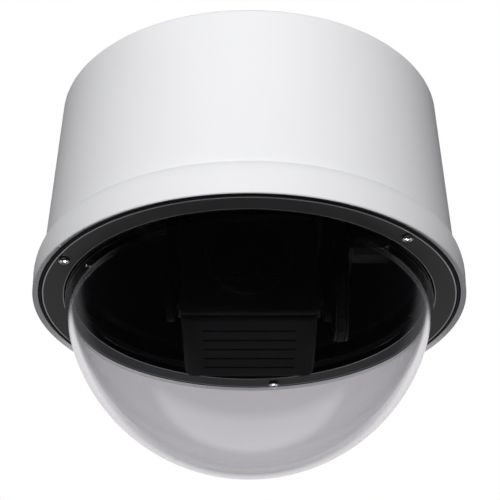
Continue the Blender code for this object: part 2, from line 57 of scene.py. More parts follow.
rim_z = lowest("housing_shell").z
rim_radius = highest("housing_shell").x
view_distance = 8.0 * rim_radius
view_below = math.radians(27.43)
view_pitch = math.radians(29.23)

lens = bpy.data.cameras.new("studio_camera")
lens.sensor_width = 36.0
lens.lens = 124.3
lens.shift_x = 0.0014
viewer = bpy.data.objects.new("studio_camera", lens)
viewer.location = (0.0, -view_distance * math.cos(view_below), rim_z - view_distance * math.sin(view_below))
viewer.rotation_euler = (math.radians(90.0) + view_pitch, 0.0, 0.0)
bpy.context.scene.collection.objects.link(viewer)
bpy.context.scene.camera = viewer
bpy.context.scene.view_settings.view_transform = "Standard"


def soft_light(name, place, size, watts, aim, cone, glints):
    """A soft rectangle of light aimed at a point; only one with glints is mirrored in glossy pieces."""
    light = bpy.data.lights.new(name, "AREA")
    light.shape = "RECTANGLE"
    light.size = size[0]
    light.size_y = size[1]
    light.energy = watts
    light.spread = math.radians(cone)
    lamp = bpy.data.objects.new(name, light)
    lamp.location = place
    lamp.rotation_euler = (Vector(aim) - Vector(place)).to_track_quat("-Z", "Y").to_euler()
    lamp.visible_glossy = glints
    lamp.visible_transmission = False
    bpy.context.scene.collection.objects.link(lamp)
    return lamp


def math_node(tree, operation, first, second=None, third=None):
    """One Math node; sockets are linked and numbers are set."""
    node = tree.nodes.new("ShaderNodeMath")
    node.operation = operation
    for slot, value in enumerate((first, second, third)):
        if isinstance(value, bpy.types.NodeSocket):
            tree.links.new(value, node.inputs[slot])
        elif value is not None:
            node.inputs[slot].default_value = value
    return node.outputs["Value"]


def mix_color(tree, factor, first, second):
    """Mix two colours, each a socket or three numbers, by a factor socket."""
    node = tree.nodes.new("ShaderNodeMix")
    node.data_type = "RGBA"
    tree.links.new(factor, node.inputs["Factor"])
    for label, value in (("A", first), ("B", second)):
        if isinstance(value, bpy.types.NodeSocket):
            tree.links.new(value, node.inputs[label])
        else:
            node.inputs[label].default_value = (*value, 1.0)
    return node.outputs["Result"]


def set_up_room():
    """White to the camera, grey through the dome, and otherwise a dark room with pale parts.

    Glossy pieces mirror the walls and the ground behind the object; matt ones are lit by the low glow.
    """
    room = bpy.data.worlds.new("studio_room")
    bpy.context.scene.world = room
    room.use_nodes = True
    tree = room.node_tree
    tree.nodes.clear()
    direction = tree.nodes.new("ShaderNodeTexCoord")
    split = tree.nodes.new("ShaderNodeSeparateXYZ")
    tree.links.new(direction.outputs["Generated"], split.inputs["Vector"])
    eye = tree.nodes.new("ShaderNodeLightPath").outputs

    def fade(axis, start, stop):
        """A smooth step from 0 to 1 along one axis of the direction looked in."""
        ramp = tree.nodes.new("ShaderNodeMapRange")
        ramp.interpolation_type = "SMOOTHSTEP"
        ramp.inputs["From Min"].default_value = start
        ramp.inputs["From Max"].default_value = stop
        tree.links.new(split.outputs[axis], ramp.inputs["Value"])
        return ramp.outputs["Result"]

    near_black = (0.010, 0.010, 0.012)
    dim_grey = (0.10, 0.10, 0.105)
    front_walls = mix_color(tree, fade("Z", 0.28, 0.46), near_black, (0.12, 0.12, 0.13))
    side_walls = mix_color(tree, fade("Y", 0.45, 0.64), front_walls, (0.14, 0.14, 0.145))
    back_wall = mix_color(tree, fade("Z", -0.2, 0.2), (0.31, 0.31, 0.32), (0.8, 0.78, 0.8))
    upright_walls = mix_color(tree, fade("Y", 0.74, 0.84), side_walls, back_wall)
    ground = mix_color(tree, fade("Y", 0.2, 0.42), near_black, (1.0, 0.99, 1.0))
    walls = mix_color(tree, fade("Z", -0.57, -0.7), upright_walls, ground)

    low_front = mix_color(tree, fade("Y", -0.65, -0.9), dim_grey, (4.2, 4.15, 4.15))
    low_glow = mix_color(tree, fade("Z", -0.4, -0.6), low_front, dim_grey)
    dim_light = mix_color(tree, fade("Z", 0.05, -0.15), (0.012, 0.012, 0.014), low_glow)

    through_dome = mix_color(tree, fade("Z", 0.62, 0.05), (0.39, 0.37, 0.39), (0.82, 0.80, 0.83))
    bounces = math_node(tree, "ADD", eye["Diffuse Depth"], eye["Glossy Depth"])
    straight = math_node(tree, "LESS_THAN", bounces, 0.5)
    clear_view = math_node(tree, "MULTIPLY", straight, eye["Is Transmission Ray"])

    seen_by_matt = mix_color(tree, eye["Is Glossy Ray"], dim_light, walls)
    seen_by_rest = mix_color(tree, clear_view, seen_by_matt, through_dome)
    backdrop = tree.nodes.new("ShaderNodeBackground")
    seen = mix_color(tree, eye["Is Camera Ray"], seen_by_rest, (1.0, 1.0, 1.0))
    tree.links.new(seen, backdrop.inputs["Color"])
    output = tree.nodes.new("ShaderNodeOutputWorld")
    tree.links.new(backdrop.outputs["Background"], output.inputs["Surface"])


def lay_floor():
    """A pale floor far below, which lights nothing and shows in nothing."""
    floor_size, floor_height = 9.0, -2.8
    pale = (0.8, 0.8, 0.8, 1.0)
    shape = bmesh.new()
    bmesh.ops.create_grid(shape, x_segments=1, y_segments=1, size=floor_size)
    bmesh.ops.translate(shape, vec=(0.0, 0.0, floor_height), verts=shape.verts)
    mesh = bpy.data.meshes.new("studio_floor")
    shape.to_mesh(mesh)
    shape.free()
    floor = bpy.data.objects.new("studio_floor", mesh)
    bpy.context.scene.collection.objects.link(floor)
    paint = bpy.data.materials.new("studio_floor")
    paint.use_nodes = True
    shader = paint.node_tree.nodes["Principled BSDF"]
    for label, value in (("Base Color", pale), ("Roughness", 0.9), ("Emission Color", pale),
                         ("Emission Strength", 0.7)):
        shader.inputs[label].default_value = value
    mesh.materials.append(paint)
    floor.visible_diffuse = False
    floor.visible_glossy = False
    floor.visible_transmission = False


body_middle = (0.0, 0.0, rim_z + 0.05)
soft_light("key_softbox", (-0.2, -1.9, 0.85), (0.9, 0.6), 1.95, body_middle, 44.0, True)
soft_light("back_softbox", (0.2, 1.9, 0.9), (0.8, 0.7), 2.4, body_middle, 44.0, False)
set_up_room()
lay_floor()


# Housing shell. A spun aluminium pot with a slight taper, flared at its foot; powder coated white, with
# the fine pebble of baked powder. The lip's underside slants inward and is machined bare.
crease_angle = 32.0


def soften(outline, radius, closed=True, count=4):
    """Round an outline's corners, as the nose of a turning tool leaves them."""
    corners = [Vector(point) for point in outline]
    rounded = []
    for index, corner in enumerate(corners):
        before = corners[index - 1] - corner
        after = corners[(index + 1) % len(corners)] - corner
        if not closed and index in (0, len(corners) - 1):
            rounded.append(corner)
            continue
        bend = math.pi - before.angle(after)
        if bend < math.radians(14.0):
            rounded.append(corner)
            continue
        cut = min(radius * math.tan(bend / 2.0), 0.45 * before.length, 0.45 * after.length)
        start = corner + before.normalized() * cut
        stop = corner + after.normalized() * cut
        for step in range(count + 1):
            along = step / count
            rounded.append(start * (1 - along) ** 2 + corner * 2 * along * (1 - along) + stop * along ** 2)
    return [(point.x, point.y) for point in rounded]


def bend_points(centre, radius, start, stop, count):
    """Points round part of a circle, from start to stop in degrees."""
    turns = [math.radians(start + (stop - start) * step / count) for step in range(count + 1)]
    return [(centre[0] + radius * math.cos(turn), centre[1] + radius * math.sin(turn)) for turn in turns]


def new_piece(name, shape, finish, crease=crease_angle):
    """Turn a finished bmesh into an object with its material, smooth but for its sharp edges."""
    mesh = bpy.data.meshes.new(name)
    shape.to_mesh(mesh)
    shape.free()
    mesh.materials.append(finish)
    mesh.shade_smooth()
    mesh.set_sharp_from_angle(angle=math.radians(crease))
    piece = bpy.data.objects.new(name, mesh)
    bpy.context.scene.collection.objects.link(piece)
    return piece


def fit_piece(piece, node, body):
    """Let a piece take a frame node's place and move with its body."""
    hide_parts(node)
    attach(piece, body)


def lathe(outline, segments, closed=True):
    """Spin an outline of (radius, height) once round the upright axis into a closed skin."""
    shape = bmesh.new()
    rim = [shape.verts.new((radius, 0.0, height)) for radius, height in outline]
    edges = [shape.edges.new(pair) for pair in zip(rim, rim[1:])]
    if closed:
        edges.append(shape.edges.new((rim[-1], rim[0])))
    bmesh.ops.spin(shape, geom=rim + edges, cent=(0, 0, 0), axis=(0, 0, 1), angle=2 * math.pi,
                   steps=segments, use_merge=True)
    bmesh.ops.remove_doubles(shape, verts=shape.verts, dist=0.000002)
    bmesh.ops.recalc_face_normals(shape, faces=shape.faces)
    return shape


def new_group(name, inputs, outputs):
    """An empty shader group with float inputs and named outputs."""
    group = bpy.data.node_groups.new(name, "ShaderNodeTree")
    for label, value in inputs.items():
        socket = group.interface.new_socket(label, in_out="INPUT", socket_type="NodeSocketFloat")
        socket.default_value = value
    for label, kind in outputs.items():
        group.interface.new_socket(label, in_out="OUTPUT", socket_type=kind)
    return group, group.nodes.new("NodeGroupInput"), group.nodes.new("NodeGroupOutput")


def noise_node(tree, scale, detail, vector):
    node = tree.nodes.new("ShaderNodeTexNoise")
    if isinstance(scale, bpy.types.NodeSocket):
        tree.links.new(scale, node.inputs["Scale"])
    else:
        node.inputs["Scale"].default_value = scale
    node.inputs["Detail"].default_value = detail
    tree.links.new(vector, node.inputs["Vector"])
    return node.outputs["Fac"]


def pebble_group():
    """Grain of paint or moulded plastic: a height, and slow patches that shift tone and gloss."""
    group, given, result = new_group("pebble_grain", {"Scale": 2500.0, "Patch Scale": 18.0},
                                     {"Height": "NodeSocketFloat", "Patch": "NodeSocketFloat"})
    place = group.nodes.new("ShaderNodeTexCoord").outputs["Object"]
    fine = noise_node(group, given.outputs["Scale"], 2.0, place)
    patch = noise_node(group, given.outputs["Patch Scale"], 4.0, place)
    group.links.new(fine, result.inputs["Height"])
    group.links.new(patch, result.inputs["Patch"])
    return group


def dust_group():
    """Fine dust that has settled where a surface faces up."""
    group, given, result = new_group("settled_dust", {"Amount": 0.3}, {"Mask": "NodeSocketFloat"})
    place = group.nodes.new("ShaderNodeTexCoord").outputs["Object"]
    facing = group.nodes.new("ShaderNodeSeparateXYZ")
    group.links.new(group.nodes.new("ShaderNodeNewGeometry").outputs["Normal"], facing.inputs["Vector"])
    up = math_node(group, "SMOOTH_MAX", facing.outputs["Z"], 0.0, 0.2)
    drift = noise_node(group, 60.0, 6.0, place)
    spots = math_node(group, "MULTIPLY", up, drift)
    group.links.new(math_node(group, "MULTIPLY", spots, given.outputs["Amount"]), result.inputs["Mask"])
    return group


PEBBLE = pebble_group()
DUST = dust_group()


def put_group(tree, group, **values):
    node = tree.nodes.new("ShaderNodeGroup")
    node.node_tree = group
    for label, value in values.items():
        node.inputs[label.replace("_", " ")].default_value = value
    return node


def spread(tree, value, low, high):
    """Turn a 0 to 1 value into one between low and high."""
    return math_node(tree, "MULTIPLY_ADD", value, high - low, low)


def bump_from(tree, shader, height, strength, depth):
    bump = tree.nodes.new("ShaderNodeBump")
    bump.inputs["Strength"].default_value = strength
    bump.inputs["Distance"].default_value = depth
    tree.links.new(height, bump.inputs["Height"])
    tree.links.new(bump.outputs["Normal"], shader.inputs["Normal"])


def bare_finish(name):
    finish = bpy.data.materials.new(name)
    finish.use_nodes = True
    return finish, finish.node_tree, finish.node_tree.nodes["Principled BSDF"]


def grained_finish(name, light, dark, gloss, grain, depth, dust=0.0, metallic=0.0, shine=0.5):
    """Paint, plastic or turned metal: two close tones in slow patches, a fine grain, and settled dust."""
    finish, tree, shader = bare_finish(name)
    pebble = put_group(tree, PEBBLE, Scale=grain)
    tone = mix_color(tree, pebble.outputs["Patch"], dark, light)
    if dust:
        settled = put_group(tree, DUST, Amount=dust)
        tone = mix_color(tree, settled.outputs["Mask"], tone, (0.38, 0.36, 0.33))
    tree.links.new(tone, shader.inputs["Base Color"])
    tree.links.new(spread(tree, pebble.outputs["Patch"], gloss[0], gloss[1]), shader.inputs["Roughness"])
    shader.inputs["Metallic"].default_value = metallic
    shader.inputs["Specular IOR Level"].default_value = shine
    bump_from(tree, shader, pebble.outputs["Height"], 0.35, depth)
    return finish


white_coat = grained_finish("white_powder_coat", (0.87, 0.875, 0.89), (0.84, 0.845, 0.86), (0.56, 0.68),
                            1900.0, 0.00006, dust=0.1, shine=0.12)
machined_lip = grained_finish("machined_lip", (0.62, 0.62, 0.64), (0.54, 0.54, 0.56), (0.22, 0.34), 2600.0,
                              0.00002, metallic=0.8)


def make_housing():
    top = highest("housing_shell").z
    flare_foot, flare_rise = rim_z + 0.0080, 0.0105
    flare_top = flare_foot + flare_rise
    body_top, body_low = 0.0948, 0.1002
    sheet = 0.0026
    cable_hole = 0.0240
    ceiling = top - 0.0040
    shoulder = 0.003
    lip_edge, lip_slant = 0.0004, 0.0009
    corner = bend_points((body_top - shoulder, top - shoulder), shoulder, 90.0, 3.0, 8)
    flare = [(body_low + (rim_radius - body_low) * math.cos(math.radians(turn)),
              flare_foot + flare_rise * math.sin(math.radians(turn))) for turn in range(78, -1, -6)]
    outside = ([(cable_hole, top)] + corner + [(body_low, flare_top)] + flare
               + [(rim_radius, rim_z + lip_edge), (rim_radius - lip_edge, rim_z)])
    inside = [(rim_radius - sheet, rim_z + lip_slant), (rim_radius - sheet, flare_foot),
              (body_low - sheet, flare_top - 0.001), (body_top - sheet, ceiling), (cable_hole, ceiling)]
    shell = new_piece("housing", lathe(outside + inside, 160), white_coat)
    shell.data.materials.append(machined_lip)
    for face in shell.data.polygons:
        on_underside = face.center.z < rim_z + lip_slant and face.normal.z < -0.85
        if on_underside and face.center.xy.length < rim_radius - lip_edge:
            face.material_index = 1
    return shell


fit_piece(make_housing(), "housing_shell", "root")


# Dome. One piece of clear moulded plastic, 3 mm thick, polished inside and out, with a flat flange that
# the trim ring clamps. It carries a very faint smoke tint.
def clear_finish(name, tint, index, haze):
    """Clear moulding or glass: a plain tint, with a little haze in slow patches."""
    finish, tree, shader = bare_finish(name)
    pebble = put_group(tree, PEBBLE, Scale=900.0, Patch_Scale=25.0)
    tree.links.new(mix_color(tree, pebble.outputs["Patch"], tint, [min(1.0, part * 1.02) for part in tint]),
                   shader.inputs["Base Color"])
    tree.links.new(spread(tree, pebble.outputs["Patch"], haze[0], haze[1]), shader.inputs["Roughness"])
    shader.inputs["Transmission Weight"].default_value = 1.0
    shader.inputs["IOR"].default_value = index
    return finish


clear_plastic = clear_finish("clear_plastic", (0.94, 0.94, 0.95), 1.49, (0.0, 0.02))


def make_dome():
    centre = (0.0, rim_z + 0.0053)
    wall = 0.003
    flange_low, flange_high, flange_edge = rim_z + 0.0039, rim_z + 0.0069, 0.0992
    outer = centre[1] - lowest("dome").z
    inner = outer - wall
    inside = bend_points(centre, inner, -90.0, 0.0, 48)
    flange = soften([inside[-1], (inner, flange_high), (flange_edge, flange_high), (flange_edge, flange_low),
                     (outer + 0.0002, flange_low), (outer, rim_z + 0.0030)], 0.0004, closed=False, count=3)
    outside = bend_points(centre, outer, -2.0, -90.0, 48)
    return new_piece("dome_moulding", lathe(inside[:-1] + flange + outside[1:], 160, closed=False),
                     clear_plastic, 50.0)


fit_piece(make_dome(), "dome", "root")


# Trim ring. A flat black painted ring that clamps the dome's flange to the ring inside. Its edges are
# turned bright after painting, and a rubber cord fills the groove between it and the lip.
black_paint = grained_finish("black_ring_paint", (0.016, 0.016, 0.018), (0.011, 0.011, 0.012), (0.34, 0.46),
                             1500.0, 0.00003, shine=0.4)
seal_rubber = grained_finish("seal_rubber", (0.012, 0.012, 0.012), (0.008, 0.008, 0.008), (0.7, 0.85),
                             3500.0, 0.00004)
bare_edge = grained_finish("bare_turned_edge", (0.60, 0.60, 0.61), (0.42, 0.42, 0.43), (0.25, 0.4),
                           4000.0, 0.00002, metallic=1.0)


def make_trim_ring():
    low, high = rim_z + 0.0006, rim_z + 0.0036
    inner, outer = 0.0894, 0.0999
    corner, bare, inner_bare = 0.0002, 0.0005, 0.0002
    outline = [(inner, high), (outer, high), (outer, low + corner), (outer - corner, low),
               (outer - corner - bare, low), (inner + corner + inner_bare, low), (inner + corner, low),
               (inner, low + corner)]
    plate = new_piece("trim_plate", lathe(outline, 160), black_paint, crease=20.0)
    plate.data.materials.append(bare_edge)
    for face in plate.data.polygons:
        from_edge = min(face.center.xy.length - inner, outer - face.center.xy.length)
        if face.normal.z < -0.3 and from_edge < corner + bare:
            face.material_index = 1
    return plate


def make_band(name, low, high, inner, outer, corner, segments, finish):
    """A plain ring of rectangular section with rounded corners."""
    outline = soften([(inner, high), (outer, high), (outer, low), (inner, low)], corner)
    return new_piece(name, lathe(outline, segments), finish)


fit_piece(make_trim_ring(), "trim_ring", "root")
lip_seal = make_band("lip_seal", rim_z + 0.0006, rim_z + 0.0034, 0.1002, 0.1014, 0.0005, 120, seal_rubber)
fit_piece(lip_seal, "lip_gasket", "root")


# Trim screws. Three M3 pan heads in bright stainless steel with a cross recess, which clamp the trim
# ring and the dome; each recess stands at its own angle, as the driver left it. A small light below
# them lights nothing else, and gives each its glint.
def steel_finish(name, tone, gloss):
    """Bare metal with slow patches of tone and fine machining grain."""
    finish, tree, shader = bare_finish(name)
    pebble = put_group(tree, PEBBLE, Scale=5200.0, Patch_Scale=120.0)
    darker = [part * 0.86 for part in tone]
    tree.links.new(mix_color(tree, pebble.outputs["Patch"], darker, tone), shader.inputs["Base Color"])
    tree.links.new(spread(tree, pebble.outputs["Patch"], gloss[0], gloss[1]), shader.inputs["Roughness"])
    shader.inputs["Metallic"].default_value = 1.0
    bump_from(tree, shader, pebble.outputs["Height"], 0.2, 0.00002)
    return finish


bright_steel = steel_finish("bright_stainless", (0.9, 0.89, 0.87), (0.1, 0.2))


def carve(piece, tool_shape):
    """Cut a piece with a closed bmesh and keep only the cut mesh."""
    tool_mesh = bpy.data.meshes.new("tool")
    tool_shape.to_mesh(tool_mesh)
    tool_shape.free()
    tool = bpy.data.objects.new("tool", tool_mesh)
    bpy.context.scene.collection.objects.link(tool)
    cut = piece.modifiers.new("cut", "BOOLEAN")
    cut.operation = "DIFFERENCE"
    cut.object = tool
    graph = bpy.context.evaluated_depsgraph_get()
    result = bpy.data.meshes.new_from_object(piece.evaluated_get(graph))
    piece.modifiers.remove(cut)
    old_mesh = piece.data
    piece.data = result
    bpy.data.meshes.remove(old_mesh)
    bpy.data.objects.remove(tool)
    result.name = piece.name
    result.shade_smooth()
    result.set_sharp_from_angle(angle=math.radians(crease_angle))


def brick(size, centre, turn=0.0):
    """A closed box of a size, turned about the upright axis and then put in its place."""
    shape = bmesh.new()
    bmesh.ops.create_cube(shape, size=1.0)
    bmesh.ops.scale(shape, vec=size, verts=shape.verts)
    bmesh.ops.rotate(shape, cent=(0, 0, 0), matrix=Matrix.Rotation(turn, 3, "Z"), verts=shape.verts)
    bmesh.ops.translate(shape, vec=centre, verts=shape.verts)
    return shape


def middle(node):
    return (lowest(node) + highest(node)) / 2.0


def make_trim_screw(number, turn):
    node = f"trim_screw_{number}"
    place = middle(node)
    crown = lowest(node).z
    seat = crown + 0.0017
    shank, shank_end = 0.0015, seat + 0.013
    head, head_curve, head_corner = 0.00275, 0.0042, 0.0001
    crown_arc = bend_points((0.0, crown + head_curve), head_curve, -40.0, -90.0, 8)
    outline = [(0.0, shank_end), (shank, shank_end), (shank, seat), (head - head_corner, seat),
               (head, seat - head_corner), (head, seat - 0.0004)]
    outline += [(radius, height) for radius, height in crown_arc if radius < head - head_corner]
    shape = lathe(outline[:-1] + [(0.0, crown)], 48, closed=False)
    bmesh.ops.translate(shape, vec=(place.x, place.y, 0.0), verts=shape.verts)
    screw = new_piece(f"ring_screw_{number}", shape, bright_steel)
    recess = (0.0031, 0.0007, 0.0022)
    for quarter in (0.0, math.pi / 2.0):
        carve(screw, brick(recess, (place.x, place.y, crown), turn + quarter))
    fit_piece(screw, node, "root")
    return screw


lit_screws = bpy.data.collections.new("lit_screws")
for number, turn in ((1, 0.4), (2, 1.15), (3, 0.75)):
    lit_screws.objects.link(make_trim_screw(number, turn))

screw_light = soft_light("screw_softbox", (0.0, 0.3, -0.9), (0.25, 0.12), 0.18, (0.0, 0.0, rim_z), 40.0, True)
screw_light.light_linking.receiver_collection = lit_screws


# Mounting collar. Cast and powder coated like the housing, bored and threaded for the pendant pipe,
# on a rubber gasket, and held down by four socket head screws.
def make_collar():
    low, high = lowest("mounting_collar").z, highest("mounting_collar").z
    flange_high = low + 0.006
    bore, neck, flange = 0.0235, 0.0305, 0.0440
    fillet = bend_points((neck + 0.0025, flange_high + 0.0025), 0.0025, 180.0, 270.0, 6)
    outside = soften([(bore + 0.0012, high), (neck, high), (neck, flange_high + 0.006)], 0.001, closed=False)
    outside += fillet + soften([(flange - 0.004, flange_high), (flange, flange_high), (flange, low),
                                (flange - 0.004, low)], 0.0012, closed=False)
    pitch, turns, thread_depth = 0.0022, 11, 0.0009
    thread = []
    for turn in range(turns):
        foot = low + 0.0015 + turn * pitch
        thread += [(bore, foot), (bore + thread_depth, foot + pitch / 2.0)]
    outline = outside + [(bore + 0.0005, low)] + thread
    return new_piece("pipe_collar", lathe(outline, 128), white_coat)


fit_piece(make_collar(), "mounting_collar", "root")
collar_pad = make_band("collar_pad", lowest("collar_gasket").z, highest("collar_gasket").z, 0.0240,
                       highest("collar_gasket").x, 0.0005, 96, seal_rubber)
fit_piece(collar_pad, "collar_gasket", "root")


def make_cap_screw(number):
    node = f"collar_screw_{number}"
    place = middle(node)
    top = highest(node).z
    seat = top - 0.005
    head, shank, shank_end, socket_radius = 0.00425, 0.0025, seat - 0.012, 0.0023
    outline = soften([(0.0, top), (head, top), (head, seat), (shank, seat), (shank, shank_end),
                      (0.0, shank_end)], 0.0005, closed=False)
    shape = lathe(outline, 72, closed=False)
    for vert in shape.verts:
        edge = math.hypot(vert.co.x, vert.co.y)
        ridge = round(math.degrees(math.atan2(vert.co.y, vert.co.x)) / 5.0) % 2
        if edge > 0.004 and seat + 0.0006 < vert.co.z < top - 0.0006 and ridge:
            vert.co.xy *= 0.975
    bmesh.ops.translate(shape, vec=(place.x, place.y, 0.0), verts=shape.verts)
    screw = new_piece(f"cap_screw_{number}", shape, bright_steel)
    socket = bmesh.new()
    bmesh.ops.create_cone(socket, cap_ends=True, segments=6, radius1=socket_radius, radius2=socket_radius,
                          depth=0.006)
    bmesh.ops.translate(socket, vec=(place.x, place.y, top), verts=socket.verts)
    carve(screw, socket)
    fit_piece(screw, node, "root")


for number in (1, 2, 3, 4):
    make_cap_screw(number)


# Chassis ring, dome seal and liner. All are dead black so that nothing but the lens shows in the
# dome: a painted cast ring, a rubber seal and a thin moulded cup with a textured, light-trapping face.
matt_black = grained_finish("matt_black_liner", (0.034, 0.034, 0.036), (0.028, 0.028, 0.030), (0.8, 0.95),
                            1400.0, 0.00008, shine=0.12)

inner_ring = make_band("inner_ring", lowest("chassis_ring").z, highest("chassis_ring").z, 0.0870, 0.0983,
                       0.0006, 128, black_paint)
fit_piece(inner_ring, "chassis_ring", "root")
dome_seal = make_band("dome_seal", lowest("dome_gasket").z, highest("dome_gasket").z, 0.0870, 0.0920,
                      0.0006, 96, seal_rubber)
fit_piece(dome_seal, "dome_gasket", "root")


def make_liner():
    foot, top = lowest("inner_liner").z, highest("inner_liner").z
    sheet = 0.002
    outline = [(0.0360, top), (0.0800, top), (0.0850, foot + sheet), (0.0965, foot + sheet), (0.0965, foot),
               (0.0830, foot), (0.0780, top - sheet), (0.0360, top - sheet)]
    shape = lathe(soften(outline, 0.0022, count=5), 128)
    return new_piece("black_liner", shape, matt_black)


fit_piece(make_liner(), "inner_liner", "root")


# Turntable. A disc with a hub, moulded in black plastic, with three shallow grooves turned in its
# underside. It hangs on the pan bearing, and the yoke arms are screwed to it.
moulded_black = grained_finish("moulded_black", (0.014, 0.014, 0.015), (0.010, 0.010, 0.011), (0.62, 0.78),
                               2200.0, 0.00005, shine=0.14)


def make_turntable():
    low, high = lowest("turntable").z, highest("turntable").z
    edge = highest("turntable").x
    disc_high, bore, hub, groove_depth = low + 0.003, 0.0203, 0.0257, 0.0006
    outline = [(bore, high), (hub, high), (hub, disc_high), (edge, disc_high), (edge, low)]
    for groove in (0.060, 0.054, 0.034):
        outline += [(groove + 0.0008, low), (groove + 0.0004, low + groove_depth),
                    (groove - 0.0004, low + groove_depth), (groove - 0.0008, low)]
    outline.append((bore, low))
    return new_piece("turntable_disc", lathe(soften(outline, 0.0004, count=2), 120), moulded_black)


fit_piece(make_turntable(), "turntable", "pan_unit")


# Yoke arms. Two arms moulded in black plastic, each with a round end, an eye bored for the tilt bush,
# and a foot that two screws hold to the turntable.
tilt_z = rim_z + 0.0040


def prism(outline, low_x, high_x, edge):
    """A plate standing across X between two planes, from an outline of (y, height), with eased edges."""
    shape = bmesh.new()
    face = shape.faces.new([shape.verts.new((low_x, y, height)) for y, height in outline])
    grown = bmesh.ops.extrude_face_region(shape, geom=[face])
    moved = [part for part in grown["geom"] if isinstance(part, bmesh.types.BMVert)]
    bmesh.ops.translate(shape, vec=(high_x - low_x, 0.0, 0.0), verts=moved)
    bmesh.ops.recalc_face_normals(shape, faces=shape.faces)
    rims = [seam for seam in shape.edges if seam.calc_face_angle(0.0) > math.radians(60.0)]
    bmesh.ops.bevel(shape, geom=rims, offset=edge, segments=2, affect="EDGES", profile=0.5)
    return shape


def slab(low, high, edge, segments=3):
    """A box between two corners with rounded edges."""
    shape = bmesh.new()
    bmesh.ops.create_cube(shape, size=1.0)
    bmesh.ops.scale(shape, vec=Vector(high) - Vector(low), verts=shape.verts)
    bmesh.ops.translate(shape, vec=(Vector(high) + Vector(low)) / 2.0, verts=shape.verts)
    bmesh.ops.bevel(shape, geom=shape.edges[:], offset=edge, segments=segments, affect="EDGES", profile=0.5)
    return shape


def merge(shapes):
    """Put several closed bmeshes in one."""
    whole = bmesh.new()
    for shape in shapes:
        part = bpy.data.meshes.new("part")
        shape.to_mesh(part)
        shape.free()
        whole.from_mesh(part)
        bpy.data.meshes.remove(part)
    return whole


def rod(radius, start, stop, sides=48):
    """A closed cylinder between two points."""
    start, stop = Vector(start), Vector(stop)
    shape = bmesh.new()
    bmesh.ops.create_cone(shape, cap_ends=True, segments=sides, radius1=radius, radius2=radius,
                          depth=(stop - start).length)
    turn = (stop - start).to_track_quat("Z", "Y").to_matrix()
    bmesh.ops.rotate(shape, cent=(0, 0, 0), matrix=turn, verts=shape.verts)
    bmesh.ops.translate(shape, vec=(start + stop) / 2.0, verts=shape.verts)
    return shape


def add_to(piece, extra):
    """Add a closed bmesh to a piece, and set its smooth and sharp edges again."""
    whole = bmesh.new()
    whole.from_mesh(piece.data)
    added = bpy.data.meshes.new("added")
    extra.to_mesh(added)
    extra.free()
    whole.from_mesh(added)
    bpy.data.meshes.remove(added)
    whole.to_mesh(piece.data)
    whole.free()
    piece.data.shade_smooth()
    piece.data.set_sharp_from_angle(angle=math.radians(crease_angle))


def make_yoke_arm(side, sign):
    node = f"yoke_arm_{side}"
    top = highest(node).z
    near, far = sorted((sign * 0.0360, sign * 0.0400))
    half_width, neck_z, bush_radius = 0.018, tilt_z + 0.034, 0.0083
    eye = bend_points((0.0, tilt_z), 0.012, 180.0, 360.0, 24)
    outline = [(half_width, top), (-half_width, top), (-half_width, neck_z)] + eye + [(half_width, neck_z)]
    arm = new_piece(f"arm_{side}", prism(outline, near, far, 0.0006), moulded_black)
    carve(arm, rod(bush_radius, (near - 0.002, 0.0, tilt_z), (far + 0.002, 0.0, tilt_z)))
    foot_near, foot_far = sorted((sign * 0.0395, sign * 0.0475))
    foot_parts = [slab((foot_near, -half_width, top - 0.003), (foot_far, half_width, top), 0.0008)]
    screw_x, screw_radius = sign * 0.0440, 0.0021
    for y in (-0.011, 0.011):
        foot_parts.append(rod(screw_radius, (screw_x, y, top - 0.0028), (screw_x, y, top - 0.0040), 24))
    add_to(arm, merge(foot_parts))
    fit_piece(arm, node, "pan_unit")


make_yoke_arm("left", -1.0)
make_yoke_arm("right", 1.0)


# Camera head. A case moulded in black plastic with shallow grooves above and below, closed by a bezel
# that the lens barrel comes through; its screws are sunk in the bezel's corners.
def make_case():
    low, high = lowest("camera_case"), highest("camera_case")
    wall, corner = 0.002, 0.004
    case = new_piece("head_case", slab(low, high, corner, 4), moulded_black)
    room = brick((high.x - low.x - 2 * wall, high.y - low.y, high.z - low.z - 2 * wall),
                 ((low.x + high.x) / 2.0, (low.y + high.y) / 2.0 - wall, (low.z + high.z) / 2.0))
    carve(case, room)
    groove, groove_step = (0.044, 0.0014, 0.0012), 0.010
    grooves = []
    for step in range(5):
        y = low.y + 0.014 + groove_step * step
        for z in (low.z, high.z):
            grooves.append(brick(groove, (0.0, y, z)))
    carve(case, merge(grooves))
    return case


def make_bezel():
    low, high = lowest("camera_bezel"), highest("camera_bezel")
    bezel = new_piece("head_bezel", slab(low, high, 0.002, 4), moulded_black)
    barrel_hole, screw_hole = 0.0208, 0.0017
    holes = [rod(barrel_hole, (0.0, low.y - 0.002, tilt_z), (0.0, high.y + 0.002, tilt_z), 96)]
    for x in (-0.0275, 0.0275):
        for z in (-0.0215, 0.0215):
            holes.append(rod(screw_hole, (x, low.y - 0.001, tilt_z + z), (x, low.y + 0.0012, tilt_z + z), 20))
    carve(bezel, merge(holes))
    return bezel


fit_piece(make_case(), "camera_case", "camera_head")
fit_piece(make_bezel(), "camera_bezel", "camera_head")


# Lens barrel and its lenses. A turned barrel with a ridged grip and a filter thread, a coated front
# lens, and the zoom and focus cells, each a black ring that holds a small glass.
coated_glass = clear_finish("coated_glass", (0.62, 0.66, 0.78), 1.6, (0.0, 0.02))


def along_lens(shape):
    """Lay a turned shape along the lens axis; its heights become distances along Y."""
    bmesh.ops.rotate(shape, cent=(0, 0, 0), matrix=Matrix.Rotation(-math.pi / 2.0, 3, "X"), verts=shape.verts)
    bmesh.ops.translate(shape, vec=(0.0, 0.0, tilt_z), verts=shape.verts)
    return shape


